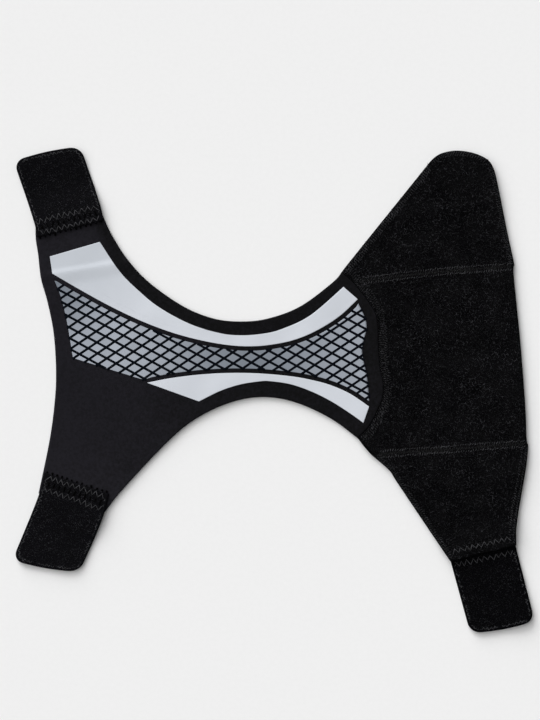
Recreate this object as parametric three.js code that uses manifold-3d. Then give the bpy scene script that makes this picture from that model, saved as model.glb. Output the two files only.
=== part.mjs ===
// An ankle brace that lies open and face up. X runs to the right, Y away and Z up, in millimetres.
// The origin is on the table, under the middle of the object's box.
import * as THREE from 'three';
import { mergeVertices } from 'three/addons/utils/BufferGeometryUtils.js';
import Module from 'manifold-3d';

const wasm = await Module();
wasm.setup();

// Driving sizes
const PANEL_THICK = 3; // smooth foam laminate
const PILE_THICK = 4.5; // foam laminate with loop pile on it
const TAB_THICK = 2.4; // two tapes sewn back to back
const TAB_WIDTH = 50; // standard tape
const TAB_CORNER = 8.5; // corner radius at a tab's free end
const TAB_BULGE = 0.9; // how far the middle of a tab's free end stands out
const FILM_THICK = 0.4; // pressed-on film
const GAP = 0.3; // clearance between pieces that are sewn or pressed together
const RIM = 2.5; // distance over which a cut edge rounds off
const RIM_TOP = 0.62; // share of the thickness at which a rounded edge starts
const RIM_FOOT = 0.14; // share of the thickness at which it ends
const NET_MARGIN = 3.3; // black margin between the net and the bands
const MERGE = 1e-6; // points closer than this are one point
const CUTTER_DEPTH = 30; // height of the prisms that cut the films out, more than any film's height

// Steps of the panels' grids. Neighbours share the steps of the seam between them.
const ARM_STEPS = 8;
const BAY_STEPS = 22;
const CURVE_STEPS = 17;
const NOSE_STEPS = 3;
const HEM_STEPS = 3;
const SEAM_STEPS = 11;
const WING_STEPS = 10;
const TAB_STEPS = 7;
const TAB_ACROSS = 8;
const CORNER_STEPS = 4;
const FILM_STEPS = 24;
const FILM_END_STEPS = 7;

// Each table below has one row for each point that an edge passes through.
const table = (columns, ...rows) =>
  rows.map((row) => Object.fromEntries(columns.map((column, i) => [column, row[i]])));
const XY = ['x', 'y'];

// Front panel: its left edge, its two arm ends and the two bays that narrow its waist
const LEFT_EDGE = table(XY, [-176.5, -77.5], [-168.6, -39.4], [-164.8, -12.4], [-163.4, 12], [-165.1, 41.6],
  [-169.7, 65.6], [-174.7, 83.6], [-176.9, 102], [-178.6, 113], [-178.8, 122]);
const LOWER_ARM_END = table(XY, [-176.5, -77.5], [-126.7, -91.5]);
const UPPER_ARM_END = table(XY, [-178.8, 122], [-130.6, 137.2]);
const LOWER_BAY = table(XY, [-126.7, -91.5], [-114.2, -75.4], [-80.3, -39.4], [-58.2, -21.4], [-32.5, -9.4],
  [-8.3, -5.3], [16.3, -9.4], [42.5, -21.4], [63, -36.4]);
const UPPER_BAY = table(XY, [-130.6, 137.2], [-127.5, 129], [-121.7, 116.6], [-110.3, 98.6], [-93.5, 80.6],
  [-67.7, 62.6], [-45.1, 53.6], [-24.8, 51.4], [-4.7, 53.6], [19.4, 62.6], [43.8, 80.6], [51, 88.9]);

// Sewn edges between the front panel and the pile, and between the pile panels
const FRONT_CURVE = table(XY, [63, -36.4], [70.5, -28], [77, -17], [80.4, -6], [80.8, 6], [79.3, 33],
  [77.6, 53], [72.5, 64.5], [60, 81]);
const FRONT_NOSE = table(XY, [60, 81], [51, 88.9]);
const UPPER_SEAM = table(XY, [60, 81], [94.5, 85.5], [132, 89.3], [179.6, 92.7]);
const LOWER_SEAM = table(XY, [73.5, -49.1], [94.5, -46.9], [132, -44.3], [189.8, -39.9]);

// Free edges of the pile panels
const MIDDLE_HEM = table(XY, [63, -36.4], [69, -44.2], [73.5, -49.1]);
const MIDDLE_RIGHT = table(XY, [189.8, -39.9], [187.5, -0.4], [184.6, 35.6], [181.6, 66], [179.6, 92.7]);
const UPPER_DIAGONAL = table(XY, [51, 88.9], [61, 101.6], [109.3, 161.6], [116.5, 170.6]);
const UPPER_TIP = table(XY, [116.5, 170.6], [123.5, 176.6], [136.5, 179.4], [152.6, 176.6], [162.2, 170.6]);
const UPPER_RIGHT = table(XY, [179.6, 92.7], [175.2, 116.6], [169.2, 146.6], [165.4, 163.6], [162.2, 170.6]);
const LOWER_LEFT = table(XY, [132, -128.3], [122.6, -114.4], [92.4, -69.4], [86.5, -60.4], [73.5, -49.1]);
const LOWER_RIGHT = table(XY, [181.4, -116.4], [181.6, -102.4], [184.9, -81.4], [188.5, -60.4],
  [189.8, -39.9]);
const LOWER_END = table(XY, [132, -128.3], [181.4, -116.4]);

// Pressed-on films
const UPPER_BAND_END = table(XY, [-168, 100.1], [-130.5, 111]);
const UPPER_BAND_TOP = table(XY, [-130.5, 111], [-115.5, 88.7], [-100.5, 73.6], [-85.5, 61.6], [-63, 49.4],
  [-40.5, 42.6], [-25.5, 41], [-10.5, 41.9], [4.5, 45.2], [27, 55.8], [52.1, 77.3]);
const UPPER_BAND_FOOT = table(XY, [-166.1, 87.2], [-145.5, 75.2], [-123, 62.9], [-100.5, 52.2], [-78, 43.6],
  [-55.5, 37.4], [-33, 33.5], [-14, 32.8], [4.5, 35], [19.5, 39], [34.5, 45.9], [49.5, 55.6], [62.8, 68]);
const LOWER_BAND_TOP = table(XY, [-95.1, 5.4], [-78, 8.8], [-55.5, 11.6], [-33, 12.8], [-10.5, 12.4],
  [12, 10.4], [27, 7.8], [42, 3.8], [57, -2.8], [71.3, -12.4]);
const LOWER_BAND_FOOT = table(XY, [-56.2, -8.6], [-40.5, -0.8], [-25.5, 4.1], [-10.5, 6.5], [-3, 6.6],
  [12, 4.4], [27, -0.7], [42, -8], [57, -17.5], [67, -24.7]);
const NET_CORNER = new THREE.Vector2(-97.8, 7.6);
const NET_LEFT = table(XY, [-150.6, 23.9], [-155.3, 51.8], [-160, 70.5], [-164.4, 81.8]);
const NET_RIGHT = table(XY, [71.3, -8.3], [69.8, 9], [66, 30], [69.4, 48.8], [63.2, 64.9]);

// Tabs: places along the middle of each, from the sewn to the free end, with the angle and the width there
const TAB_PLACE = ['x', 'y', 'angle', 'width'];
const UPPER_FRONT_TAB = table(TAB_PLACE,
  [-152.6, 120.65, 14.5, TAB_WIDTH + 1.2],
  [-155.5, 134, 14, TAB_WIDTH + 1.2],
  [-170.3, 177.65, 12.4, TAB_WIDTH + 1.2]);
const LOWER_FRONT_TAB = table(TAB_PLACE,
  [-148.1, -69.6, -18.2, TAB_WIDTH + 0.9],
  [-152.9, -89, -19, TAB_WIDTH + 0.9],
  [-171.3, -132.6, -9.9, TAB_WIDTH + 0.9]);
const BACK_TAB = table(TAB_PLACE,
  [154.4, -112.9, 12.7, TAB_WIDTH + 0.3],
  [157.8, -126.5, 12.4, TAB_WIDTH],
  [171.44, -178.44, 10.7, TAB_WIDTH - 1]);
// The height of each tab's underside at its two ends, and the length of the lap that is sewn down
const TABS = table(['name', 'places', 'lapHeight', 'tipHeight', 'lap'],
  ['upper_front_tab', UPPER_FRONT_TAB, PANEL_THICK + GAP, 0.6, 11],
  ['lower_front_tab', LOWER_FRONT_TAB, PANEL_THICK + GAP, 1.2, 19],
  ['back_tab', BACK_TAB, 0, 2, 12]);

// The lie of the cloth: it rises by height over reach, from the line through x and y across the heading
const LIFTS = table(['x', 'y', 'heading', 'reach', 'height'],
  [-150, 100, 108, 40, 0.7],
  [-150, -45, 249, 40, 1],
  [128, 122, 80, 60, 2.6],
  [158, 20, 0, 34, 1]);
// A soft fold across the upper arm, and the rise of the lower loop panel over the tab that is sewn under it
const CREASE = { x: -144, y: 90.7, angle: 9.5, halfWidth: 13, height: 1 };
const TAB_STEP = { x: 150, y: -95, heading: -76, reach: 16, height: TAB_THICK + GAP };

// Curves and sampled edges
const curve = (rows) => new THREE.SplineCurve(rows.map(({ x, y }) => new THREE.Vector2(x, y)));

// Shares from 0 to 1 in even steps, with a narrow first and last step where the rim rounds off
function rimmed(steps, length) {
  const rim = RIM / length;
  const inner = Array.from({ length: steps - 1 }, (_, i) => rim + ((1 - 2 * rim) * i) / (steps - 2));
  return [0, ...inner, 1];
}

// Points along an edge in such steps
function walk(rows, steps) {
  const line = curve(rows);
  return rimmed(steps, line.getLength()).map((share) => line.getPointAt(share));
}

const chain = (...walks) => walks.flatMap((points, i) => (i === 0 ? points : points.slice(1)));
const back = (points) => [...points].reverse();

// Moves a sampled edge sideways, to the left of its direction where distance is positive
function aside(points, distance) {
  return points.map((point, i) => {
    const before = points[Math.max(i - 1, 0)];
    const after = points[Math.min(i + 1, points.length - 1)];
    const along = after.clone().sub(before).normalize();
    return new THREE.Vector2(point.x - along.y * distance, point.y + along.x * distance);
  });
}

// Shares of the whole length at each point of a sampled edge
function lengthShares(points) {
  const sums = [0];
  for (let i = 1; i < points.length; i += 1) sums.push(sums[i - 1] + points[i].distanceTo(points[i - 1]));
  return sums.map((sum) => sum / sums.at(-1));
}

// The corner where two edges leave each other: their shared first point, or where their first stretches cross
function corner(one, other) {
  if (one[0].distanceTo(other[0]) < MERGE) return one[0];
  const along = one[1].clone().sub(one[0]);
  const turned = other[1].clone().sub(other[0]);
  const between = other[0].clone().sub(one[0]);
  return one[0].clone().addScaledVector(along, between.cross(turned) / along.cross(turned));
}

// A grid of points between four sampled edges: foot and top run to the right, left and right run up
function patch(edges) {
  const start = corner(edges.foot, edges.left);
  const end = corner(back(edges.foot), edges.right);
  const startTop = corner(edges.top, back(edges.left));
  const endTop = corner(back(edges.top), back(edges.right));
  const between = (from, points, to) => [from, ...points.slice(1, -1), to];
  const foot = between(start, edges.foot, end);
  const top = between(startTop, edges.top, endTop);
  const left = between(start, edges.left, startTop);
  const right = between(end, edges.right, endTop);
  const mean = (a, b) => a.map((value, i) => (value + b[i]) / 2);
  const across = mean(lengthShares(foot), lengthShares(top));
  const up = mean(lengthShares(left), lengthShares(right));
  return across.map((u, i) => up.map((v, j) => {
    const blend = (axis) =>
      (1 - v) * foot[i][axis] + v * top[i][axis] + (1 - u) * left[j][axis] + u * right[j][axis]
      - (1 - u) * ((1 - v) * foot[0][axis] + v * top[0][axis])
      - u * ((1 - v) * foot.at(-1)[axis] + v * top.at(-1)[axis]);
    return new THREE.Vector2(blend('x'), blend('y'));
  }));
}

// Heights
const radians = THREE.MathUtils.degToRad;

function rise({ x, y, heading, reach, height }, point) {
  const along = (point.x - x) * Math.cos(radians(heading)) + (point.y - y) * Math.sin(radians(heading));
  return height * THREE.MathUtils.smoothstep(along, 0, reach);
}

function fold({ x, y, angle, halfWidth, height }, point) {
  const off = (point.y - y) * Math.cos(radians(angle)) - (point.x - x) * Math.sin(radians(angle));
  return Math.abs(off) < halfWidth ? (height / 2) * (1 + Math.cos((Math.PI * off) / halfWidth)) : 0;
}

const lie = (point) => LIFTS.reduce((sum, lift) => sum + rise(lift, point), 0) + fold(CREASE, point);
const lieOverTab = (point) => lie(point) + rise(TAB_STEP, point);

// Solids
// A closed sheet over a grid of points, between two heights, given for a point and whether it is on the rim
function sheet(grid, under, over) {
  const columns = grid.length;
  const rows = grid[0].length;
  const place = (i, j) => i * rows + j;
  const onRim = (i, j) => i === 0 || j === 0 || i === columns - 1 || j === rows - 1;
  const raised = (height) =>
    grid.flatMap((line, i) => line.map((point, j) => [point.x, point.y, height(point, onRim(i, j))]));
  const lift = columns * rows;
  const faces = [];
  for (let i = 0; i + 1 < columns; i += 1) {
    for (let j = 0; j + 1 < rows; j += 1) {
      const [a, b, c, d] = [place(i, j), place(i + 1, j), place(i + 1, j + 1), place(i, j + 1)];
      faces.push(a, c, b, a, d, c);
      faces.push(a + lift, b + lift, c + lift, a + lift, c + lift, d + lift);
    }
  }
  const border = [];
  for (let i = 0; i < columns - 1; i += 1) border.push(place(i, 0));
  for (let j = 0; j < rows - 1; j += 1) border.push(place(columns - 1, j));
  for (let i = columns - 1; i > 0; i -= 1) border.push(place(i, rows - 1));
  for (let j = rows - 1; j > 0; j -= 1) border.push(place(0, j));
  border.forEach((from, k) => {
    const to = border[(k + 1) % border.length];
    faces.push(from, to, to + lift, from, to + lift, from + lift);
  });
  const geometry = new THREE.BufferGeometry();
  const points = [...raised(under), ...raised(over)].flat();
  geometry.setAttribute('position', new THREE.Float32BufferAttribute(points, 3));
  geometry.setIndex(faces);
  return geometry;
}

// A sheet of cloth of one thickness on a given lie, with rounded cut edges
const cloth = (grid, thick, bed) => sheet(
  grid,
  (point, onRim) => bed(point) + (onRim ? thick * RIM_FOOT : 0),
  (point, onRim) => bed(point) + thick * (onRim ? RIM_TOP : 1),
);

function solid(geometry) {
  const bare = geometry.clone();
  bare.deleteAttribute('normal');
  bare.deleteAttribute('uv');
  const merged = mergeVertices(bare);
  const mesh = new wasm.Mesh({
    numProp: 3,
    vertProperties: new Float32Array(merged.attributes.position.array),
    triVerts: new Uint32Array(merged.index.array),
  });
  return new wasm.Manifold(mesh);
}

function geometryOf(body) {
  const mesh = body.getMesh();
  const geometry = new THREE.BufferGeometry();
  geometry.setAttribute('position', new THREE.BufferAttribute(new Float32Array(mesh.vertProperties), 3));
  geometry.setIndex(new THREE.BufferAttribute(new Uint32Array(mesh.triVerts), 1));
  return geometry;
}

// Materials
const finish = (color, roughness) => new THREE.MeshStandardMaterial({ color, roughness, metalness: 0 });
const laminate = finish(0x1d1d21, 0.75);
const pile = finish(0x0e0e10, 1);
const tape = finish(0x101012, 0.95);
const lightFilm = finish(0xccd0d6, 0.5);
const netFilm = finish(0x9aa0a9, 0.5);

const brace = new THREE.Group();
brace.name = 'ankle_brace';

function add(name, geometry, material) {
  geometry.computeVertexNormals();
  const mesh = new THREE.Mesh(geometry, material);
  mesh.name = name;
  brace.add(mesh);
}

// Front panel
const frontCurve = walk(FRONT_CURVE, CURVE_STEPS);
const frontNose = walk(FRONT_NOSE, NOSE_STEPS);
const frontGrid = patch({
  foot: chain(walk(LOWER_ARM_END, ARM_STEPS), walk(LOWER_BAY, BAY_STEPS)),
  top: chain(walk(UPPER_ARM_END, ARM_STEPS), walk(UPPER_BAY, BAY_STEPS)),
  left: walk(LEFT_EDGE, CURVE_STEPS + NOSE_STEPS),
  right: chain(frontCurve, frontNose),
});
add('front_panel', cloth(frontGrid, PANEL_THICK, lie), laminate);

// Loop panels, which keep clear of the front panel and of each other along their seams
const clearCurve = aside(frontCurve, -GAP);
const clearNose = aside(frontNose, -GAP);
const upperSeam = walk(UPPER_SEAM, HEM_STEPS + SEAM_STEPS);
const lowerSeam = walk(LOWER_SEAM, SEAM_STEPS);

const upperGrid = patch({
  foot: chain(back(clearNose), aside(upperSeam, GAP / 2)),
  top: walk(UPPER_TIP, NOSE_STEPS + HEM_STEPS + SEAM_STEPS),
  left: walk(UPPER_DIAGONAL, WING_STEPS),
  right: walk(UPPER_RIGHT, WING_STEPS),
});
add('upper_loop_panel', cloth(upperGrid, PILE_THICK, lie), pile);

const middleGrid = patch({
  foot: chain(walk(MIDDLE_HEM, HEM_STEPS), aside(lowerSeam, GAP / 2)),
  top: aside(upperSeam, -GAP / 2),
  left: clearCurve,
  right: walk(MIDDLE_RIGHT, CURVE_STEPS),
});
add('middle_loop_panel', cloth(middleGrid, PILE_THICK, lie), pile);

const lowerGrid = patch({
  foot: walk(LOWER_END, SEAM_STEPS),
  top: aside(lowerSeam, -GAP / 2),
  left: walk(LOWER_LEFT, WING_STEPS),
  right: walk(LOWER_RIGHT, WING_STEPS),
});
add('lower_loop_panel', cloth(lowerGrid, PILE_THICK, lieOverTab), pile);

// Films, cut out of a thin skin that follows the front panel's upper side
const skin = solid(sheet(
  frontGrid,
  (point) => lie(point) + PANEL_THICK + GAP,
  (point) => lie(point) + PANEL_THICK + GAP + FILM_THICK,
));

function film(...edges) {
  const points = edges.flat();
  const outline = points.filter((point, i) => point.distanceTo(points.at(i - 1)) > MERGE);
  const prism = { depth: CUTTER_DEPTH, bevelEnabled: false };
  const cutter = new THREE.ExtrudeGeometry(new THREE.Shape(outline), prism);
  return geometryOf(skin.intersect(solid(cutter)));
}

const upperBandFoot = walk(UPPER_BAND_FOOT, FILM_STEPS);
const lowerBandTop = walk(LOWER_BAND_TOP, FILM_STEPS);

add('upper_band', film(
  upperBandFoot,
  back(walk(UPPER_BAND_TOP, FILM_STEPS)),
  back(walk(UPPER_BAND_END, FILM_END_STEPS)),
), lightFilm);

add('lower_band', film(walk(LOWER_BAND_FOOT, FILM_STEPS), back(lowerBandTop)), lightFilm);

// The net keeps its margin to both bands and ends a rim short of their ends
add('net_film', film(
  [NET_CORNER, ...aside(lowerBandTop, NET_MARGIN).slice(1, -1)],
  walk(NET_RIGHT, FILM_END_STEPS),
  back(aside(upperBandFoot, -NET_MARGIN).slice(1, -1)),
  back(walk(NET_LEFT, FILM_END_STEPS)),
), netFilm);

// Tabs
// Rows across a tab from its sewn end to its free end, which bulges a little between round corners
function tabGrid(places) {
  const middle = curve(places);
  const spread = curve(places.map(({ angle, width }) => ({ x: angle, y: width })));
  const length = middle.getLength();
  const body = Array.from({ length: TAB_STEPS }, (_, i) => ({
    along: i === 0 ? 0 : RIM + ((length - TAB_CORNER - RIM) * (i - 1)) / (TAB_STEPS - 1),
    narrowed: 0,
  }));
  const roundEnd = Array.from({ length: CORNER_STEPS + 1 }, (_, i) => {
    const turn = (Math.PI / 2) * (i / CORNER_STEPS);
    return { along: length - TAB_CORNER * (1 - Math.sin(turn)), narrowed: TAB_CORNER * (1 - Math.cos(turn)) };
  });
  const towards = Math.sign(places.at(-1).y - places[0].y);
  return rimmed(TAB_ACROSS, TAB_WIDTH).map((share) => [...body, ...roundEnd].map(({ along, narrowed }) => {
    const t = middle.getUtoTmapping(along / length);
    const { x: angle, y: width } = spread.getPoint(t);
    const across = new THREE.Vector2(Math.cos(radians(angle)), Math.sin(radians(angle)));
    const side = 2 * share - 1;
    const bulge = TAB_BULGE * (1 - side ** 2) * (along / length) ** 2;
    return middle.getPoint(t)
      .addScaledVector(across, side * (width / 2 - narrowed) * towards)
      .addScaledVector(middle.getTangent(t), bulge);
  }));
}

// The underside of a tab: level over its lap, then on to the height of its free end
function tabBed({ places, lapHeight, tipHeight, lap }) {
  const [start, end] = [places[0], places.at(-1)];
  const length = Math.hypot(end.x - start.x, end.y - start.y);
  const slope = {
    x: THREE.MathUtils.lerp(start.x, end.x, lap / length),
    y: THREE.MathUtils.lerp(start.y, end.y, lap / length),
    heading: THREE.MathUtils.radToDeg(Math.atan2(end.y - start.y, end.x - start.x)),
    reach: length - lap,
    height: tipHeight - lapHeight,
  };
  return (point) => lie(point) + lapHeight + rise(slope, point);
}

for (const tab of TABS) add(tab.name, cloth(tabGrid(tab.places), TAB_THICK, tabBed(tab)), tape);

export default brace;
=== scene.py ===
import math
from types import SimpleNamespace

import bpy
import numpy as np
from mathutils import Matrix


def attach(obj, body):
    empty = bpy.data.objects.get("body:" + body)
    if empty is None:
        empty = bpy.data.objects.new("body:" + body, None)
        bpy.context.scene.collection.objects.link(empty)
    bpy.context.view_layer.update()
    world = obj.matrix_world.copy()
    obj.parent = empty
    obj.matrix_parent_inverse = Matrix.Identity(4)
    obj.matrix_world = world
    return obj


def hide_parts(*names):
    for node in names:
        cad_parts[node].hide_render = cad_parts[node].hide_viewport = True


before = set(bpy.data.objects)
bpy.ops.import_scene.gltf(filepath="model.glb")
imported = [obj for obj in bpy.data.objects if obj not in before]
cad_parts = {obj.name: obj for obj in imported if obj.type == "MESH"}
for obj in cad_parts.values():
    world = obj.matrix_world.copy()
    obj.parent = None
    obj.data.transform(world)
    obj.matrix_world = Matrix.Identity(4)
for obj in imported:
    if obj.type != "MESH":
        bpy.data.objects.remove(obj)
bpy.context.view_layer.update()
scene = bpy.context.scene

# Front panel
# The smooth half of the brace: thin foam between two faces of fine black knit, die cut as an hourglass with
# two arms on the left. Its round right edge is sewn to the loop panels, and the films are pressed onto it.
MM = 0.001
PANEL_THICK = 3.0
UNDERCUT = 0.14  # share of the thickness by which the underside of a cut edge lifts
RIM_STEPS = np.array([0.0, 0.12, 0.35, 0.7, 1.2, 1.8, 2.6])  # closer steps where a cut edge rounds off
ARM_POINTS = 36
BAY_POINTS = 136
CURVE_POINTS = 92
NOSE_POINTS = 20
FREE_RIM = (1.5, 0.5)  # how far a cut edge rounds off, and the share of the thickness at which it starts
SEWN_RIM = (2.2, 0.6)
KNIT_COLUMN = 0.62
KNIT_COURSE = 0.5

LEFT_EDGE = [(-176.5, -77.5), (-168.6, -39.4), (-164.8, -12.4), (-163.4, 12), (-165.1, 41.6), (-169.7, 65.6),
             (-174.7, 83.6), (-176.9, 102), (-178.6, 113), (-178.8, 122)]
LOWER_ARM_END = [(-176.5, -77.5), (-126.7, -91.5)]
UPPER_ARM_END = [(-178.8, 122), (-130.6, 137.2)]
LOWER_BAY = [(-126.7, -91.5), (-114.2, -75.4), (-80.3, -39.4), (-58.2, -21.4), (-32.5, -9.4), (-8.3, -5.3),
             (16.3, -9.4), (42.5, -21.4), (63, -36.4)]
UPPER_BAY = [(-130.6, 137.2), (-127.5, 129), (-121.7, 116.6), (-110.3, 98.6), (-93.5, 80.6), (-67.7, 62.6),
             (-45.1, 53.6), (-24.8, 51.4), (-4.7, 53.6), (19.4, 62.6), (43.8, 80.6), (51, 88.9)]
FRONT_CURVE = [(63, -36.4), (70.9, -28), (77.2, -17), (81.7, -6), (82.3, 4.5), (80, 16), (78.7, 33),
               (77.8, 53), (72.5, 64.5), (60, 81)]
FRONT_NOSE = [(60, 81), (51, 88.9)]

# The lie of the cloth: it rises by height over reach, from the line through x and y across the heading
LIFTS = [
    dict(x=-150, y=100, heading=108, reach=40, height=0.2),
    dict(x=-150, y=-45, heading=249, reach=40, height=0.5),
    dict(x=128, y=122, heading=80, reach=60, height=2.2),
    dict(x=158, y=20, heading=0, reach=34, height=1.7),
]
CREASE = dict(x=-144, y=90.7, angle=9.5, above=3.2, below=11, height=0.7)
# Where the knit's tone changes: painted light, greyer towards the left and darker towards the right,
# lighter far from the middle line, and painted shading, darker beside the upper bay, which is nearly round
LIT_LEFT_SPAN = (-165, 30)
MIDDLE_LINE = 25
ARMS_SPAN = (30, 110)
BAY_CENTRE = (-25, 150)
BAY_SHADING_SPAN = (106, 117)
# Slow waves in the foam's upper face: wave lengths along x and y, phase and height
WAVES = [(74, 51, 0.4, 0.07), (-43, 66, 2.1, 0.05), (31, -38, 4.0, 0.03)]


def smooth_line(points, per_span=24):
    """Close points on a smooth curve through the given ones."""
    given = np.array(points, float)
    padded = np.vstack([given[:1], given, given[-1:]])
    before, start, end, after = (padded[k:len(padded) - 3 + k, None] for k in range(4))
    leave, arrive = (end - before) / 2, (after - start) / 2
    t = np.linspace(0, 1, per_span, endpoint=False)[None, :, None]
    line = (2 * start - 2 * end + leave + arrive) * t**3 + (-3 * start + 3 * end - 2 * leave - arrive) * t**2
    return np.vstack([(line + leave * t + start).reshape(-1, given.shape[1]), given[-1:]])


def distances(line):
    """Distance along a line at each of its points."""
    steps = np.linalg.norm(np.diff(line, axis=0), axis=1)
    return np.concatenate([[0], np.cumsum(steps)])


def walk(points, count):
    """A number of points along an edge in even steps, closer at both ends."""
    line = smooth_line(points)
    sums = distances(line)
    even = np.linspace(RIM_STEPS[-1], sums[-1] - RIM_STEPS[-1], count - 2 * len(RIM_STEPS) + 2)
    where = np.concatenate([RIM_STEPS[:-1], even, sums[-1] - RIM_STEPS[-2::-1]])
    return np.column_stack([np.interp(where, sums, line[:, axis]) for axis in (0, 1)])


def chain(*walks):
    """One edge from several that follow each other."""
    return np.vstack([walks[0], *(points[1:] for points in walks[1:])])


def aside(line, distance):
    """Moves an edge sideways, to the left of its direction where distance is positive."""
    along = np.gradient(line, axis=0)
    along = along / np.linalg.norm(along, axis=1)[:, None]
    return line + distance * np.column_stack([-along[:, 1], along[:, 0]])


def corner(one, other):
    """The shared first point of two edges, or else the crossing of their first stretches."""
    between = other[0] - one[0]
    if np.linalg.norm(between) < 1e-6:
        return one[0]
    along, turned = one[1] - one[0], other[1] - other[0]
    part = (between[0] * turned[1] - between[1] * turned[0]) / (along[0] * turned[1] - along[1] * turned[0])
    return one[0] + along * part


def patch(foot, top, left, right):
    """A grid of points between four edges: foot and top run to the right, left and right run up."""
    start, end = corner(foot, left), corner(foot[::-1], right)
    start_top, end_top = corner(top, left[::-1]), corner(top[::-1], right[::-1])
    foot, top = np.vstack([start, foot[1:-1], end]), np.vstack([start_top, top[1:-1], end_top])
    left, right = np.vstack([start, left[1:-1], start_top]), np.vstack([end, right[1:-1], end_top])
    foot_share, top_share, left_share, right_share = (
        distances(edge) / distances(edge)[-1] for edge in (foot, top, left, right))
    u = (foot_share + top_share)[:, None, None] / 2
    v = (left_share + right_share)[None, :, None] / 2
    ruled = (1 - v) * foot[:, None] + v * top[:, None] + (1 - u) * left[None] + u * right[None]
    return ruled - (1 - u) * ((1 - v) * start + v * start_top) - u * ((1 - v) * end + v * end_top)


def ease(value):
    """A smooth step from 0 to 1."""
    share = np.clip(value, 0, 1)
    return share * share * (3 - 2 * share)


def rise(points, x, y, heading, reach, height):
    """Height of a smooth ramp along a heading."""
    turn = math.radians(heading)
    along = (points[..., 0] - x) * math.cos(turn) + (points[..., 1] - y) * math.sin(turn)
    return height * ease(along / reach)


def lie(points):
    """Height of the cloth's underside over the table."""
    turn = math.radians(CREASE["angle"])
    off = (points[..., 1] - CREASE["y"]) * math.cos(turn) - (points[..., 0] - CREASE["x"]) * math.sin(turn)
    fold = CREASE["height"] * ease(1 - np.where(off > 0, off / CREASE["above"], -off / CREASE["below"]))
    return fold + sum(rise(points, **lift) for lift in LIFTS)


def waves(points):
    """Slow unevenness of a soft upper face."""
    return sum(
        height * np.sin(math.tau * (points[..., 0] / along + points[..., 1] / across) + phase)
        for along, across, phase, height in WAVES)


def rim_share(distance, radius, start):
    """Share of the full thickness at a distance from an edge that rounds off over a radius."""
    near = np.clip(distance / radius, 0, 1)
    return start + (1 - start) * np.sqrt(1 - (1 - near) ** 2)


def edge_distances(grid):
    """Distance of each grid point from the foot, right, top and left edges."""
    across = np.linalg.norm(np.diff(grid, axis=0), axis=-1).cumsum(axis=0)
    up = np.linalg.norm(np.diff(grid, axis=1), axis=-1).cumsum(axis=1)
    left = np.vstack([np.zeros_like(across[:1]), across])
    foot = np.hstack([np.zeros_like(up[:, :1]), up])
    return dict(foot=foot, right=left[-1] - left, top=foot[:, -1:] - foot, left=left)


SIDES = ("foot", "right", "top", "left")


def crown(grid, rims):
    """Share of the full thickness over a grid, from each edge's own radius and start."""
    share = 1.0
    for side, distance in edge_distances(grid).items():
        share = share * rim_share(distance, *rims[side])
    return share


def new_object(name, data):
    """An object that is linked into the scene."""
    made = bpy.data.objects.new(name, data)
    scene.collection.objects.link(made)
    return made


def sheet_piece(name, grid, over, under, face, back, **marks):
    """A closed sheet over a grid, between two heights, with a finish for its face and one for its back."""
    columns, rows = over.shape
    flat = grid.reshape(-1, 2)
    points = np.vstack([np.column_stack([flat, over.ravel()]), np.column_stack([flat, under.ravel()])])
    count = len(flat)
    place = np.arange(count).reshape(columns, rows)
    upper = np.stack([place[:-1, :-1], place[1:, :-1], place[1:, 1:], place[:-1, 1:]], -1).reshape(-1, 4)
    border = np.concatenate([place[:-1, 0], place[-1, :-1], place[:0:-1, -1], place[0, :0:-1]])
    ahead = np.roll(border, -1)
    wall = np.stack([border + count, ahead + count, ahead, border], -1)
    mesh = bpy.data.meshes.new(name)
    mesh.from_pydata((points * MM).tolist(), [], np.vstack([upper, upper[:, ::-1] + count, wall]).tolist())
    mesh.materials.append(face)
    mesh.materials.append(back)
    is_back = (np.arange(len(mesh.polygons)) >= len(upper)).astype(np.int32)
    mesh.polygons.foreach_set("material_index", is_back)
    for mark, values in marks.items():
        layer = mesh.attributes.new(mark, "FLOAT", "POINT")
        layer.data.foreach_set("value", np.concatenate([values.ravel(), np.zeros(count)]).astype(np.float32))
    mesh.shade_smooth()
    return new_object(name, mesh)


def arithmetic(operation, swapped=False):
    """An operator of a wire, which adds a Math node."""
    def operator(wire, other):
        return wire.maths(operation, *((other, wire) if swapped else (wire, other)))
    return operator


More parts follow.
